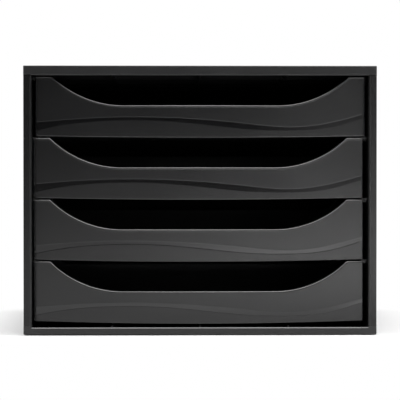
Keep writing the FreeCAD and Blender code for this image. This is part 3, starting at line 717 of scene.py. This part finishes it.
def ramp(value, start, end, low=0.0, high=1.0, smooth=True):
    """A wire that goes from low to high while value goes from start to end."""
    kind = "SMOOTHSTEP" if smooth else "LINEAR"
    sockets = {"Value": value, "From Min": start, "From Max": end, "To Min": low, "To Max": high}
    return value.node("MapRange", {"interpolation_type": kind}, sockets)


def distance_outside(tree, place, reach):
    """How far a point lies outside a box round the origin: |max(|p| - reach, 0)|."""
    outside = tree.node("VectorMath", {"operation": "ABSOLUTE"}, {0: place})
    outside = tree.node("VectorMath", {"operation": "SUBTRACT"}, {0: outside, 1: reach})
    outside = tree.node("VectorMath", {"operation": "MAXIMUM"}, {0: outside, 1: (0, 0, 0)})
    return tree.node("VectorMath", {"operation": "LENGTH"}, {0: outside}, "Value")


def seen_directly(tree):
    """1 for what the camera sees, also through clear pieces."""
    camera_ray = tree.node("LightPath", output="Is Camera Ray")
    clear_ray = tree.node("LightPath", output="Is Transmission Ray")
    return tree.math("MAXIMUM", camera_ray, clear_ray)


floor_mesh = bpy.data.meshes.new("floor")
floor_mesh.from_pydata(FLOOR_CORNERS, [], [(0, 1, 2, 3)])
floor = bpy.data.objects.new("floor", floor_mesh)
bpy.context.scene.collection.objects.link(floor)

floor_paint, floor_tree = new_material("floor_paint")
floor_place = floor_tree.node("TexCoord", output="Object")
outward = distance_outside(floor_tree, floor_place, (HALF, cad_box[1][1], 0))
away = floor_tree.node("VectorMath", {"operation": "LENGTH"}, {0: floor_place}, "Value")
from_pool = floor_tree.node(
    "VectorMath", {"operation": "DISTANCE"}, {0: floor_place, 1: POOL}, "Value"
)
mirrored = floor_tree.node("LightPath", output="Is Glossy Ray")
past_shadow = ramp(outward, 0.0, SHADOW_REACH)
beside = ramp(from_pool, POOL_START, POOL_END, high=POOL_WHITE, smooth=False)
far = ramp(away, FAR_START, FAR_END)
near = ramp(outward, NEAR_END, NEAR_START, smooth=False)
touching = ramp(outward, TOUCH_START, TOUCH_END, smooth=False)
paint = floor_tree.node("BsdfDiffuse", {}, {"Color": FLOOR_PAINT})
shade = floor_tree.node("BsdfDiffuse", {}, {"Color": FLOOR_SHADE})
glow = floor_tree.node("Emission", {}, {"Color": WHITE, "Strength": 1.0})
dim = mirrored * near * touching * NEAR_DIM
ground = floor_tree.node("MixShader", {}, {0: dim, 1: paint, 2: shade})
bright = floor_tree.math(
    "MAXIMUM", seen_directly(floor_tree) * past_shadow, mirrored * beside * far
)
floor_surface = floor_tree.node("MixShader", {}, {0: bright, 1: ground, 2: glow})
floor_tree.node("OutputMaterial", {}, {"Surface": floor_surface})
floor_mesh.materials.append(floor_paint)

# ---------------------------------------------------------------------------------------
# Room: white where it is seen directly, and an even dim light on everything.
# Reflections see it light behind and above the object, and dimly lit at its right.
# ---------------------------------------------------------------------------------------

ROOM_LIGHT = 0.25
BEHIND_START, BEHIND_END = 0.2, 0.6
RIGHT_START, RIGHT_END = 0.1, 0.37
RIGHT_LOW, RIGHT_HIGH = 0.03, 0.45
BEYOND_START, BEYOND_END = 0.3, 0.46
BEYOND_LEFT = 0.15  # share of the right side's light that is left further round
ABOVE_START, ABOVE_END = 0.4, 0.75
ABOVE_LIGHT = 5.0

scene = bpy.context.scene
world = bpy.data.worlds.new("studio")
scene.world = world
world.use_nodes = True
world.node_tree.nodes.clear()
sky = Wire(world.node_tree)
way = sky.node("TexCoord", output="Generated")
way_x, way_y, way_z = (sky.node("SeparateXYZ", {}, {0: way}, axis) for axis in "XYZ")
behind = ramp(way_y, BEHIND_START, BEHIND_END, smooth=False)
rightward = ramp(way_x, RIGHT_START, RIGHT_END, RIGHT_LOW, RIGHT_HIGH)
beyond = ramp(way_x, BEYOND_START, BEYOND_END, 1.0, BEYOND_LEFT)
above = ramp(way_z, ABOVE_START, ABOVE_END, high=ABOVE_LIGHT)
room = sky.math("MAXIMUM", behind, rightward * beyond + above)
glossy_ray = sky.node("LightPath", output="Is Glossy Ray")
strength = ROOM_LIGHT + (room - ROOM_LIGHT) * glossy_ray
strength = strength + (1 - strength) * seen_directly(sky)
air = sky.node("Background", {}, {"Color": WHITE, "Strength": strength})
sky.node("OutputWorld", {}, {"Surface": air})

# ---------------------------------------------------------------------------------------
# Lamps and camera: a long lamp above the object and one above the floor at its front
# right. The camera stands a little to the left of the middle, and looks almost level.
# ---------------------------------------------------------------------------------------

SENSOR = 36
LENS = 143.46
EYE = Vector((-28 * MM, -1735 * MM, 158 * MM))
AIM = Vector((-0.35 * MM, -135 * MM, 136.1 * MM))


def soft_box(name, place, target, size, power, spread=180):
    """A rectangular area lamp at a place, turned to a target. spread is its cone."""
    data = bpy.data.lights.new(name, "AREA")
    data.shape = "RECTANGLE"
    data.size, data.size_y = size
    data.energy = power
    data.spread = math.radians(spread)
    lamp = bpy.data.objects.new(name, data)
    scene.collection.objects.link(lamp)
    lamp.location = place
    turn = (Vector(target) - Vector(place)).to_track_quat("-Z", "Y")
    lamp.rotation_euler = turn.to_euler()


soft_box("top_box", (0.2, -0.2, 1.4), (0.2, -0.1, 0), size=(3.4, 0.5), power=32)
soft_box("floor_box", (0.85, -1.5, 1.4), (0.85, -1.5, 0), size=(2.0, 1.9), power=38, spread=70)

camera_data = bpy.data.cameras.new("camera")
camera_data.lens = LENS
camera_data.sensor_width = SENSOR
camera = bpy.data.objects.new("camera", camera_data)
scene.collection.objects.link(camera)
camera.location = EYE
camera.rotation_euler = (AIM - EYE).to_track_quat("-Z", "Y").to_euler()
scene.camera = camera

scene.view_settings.view_transform = "Standard"
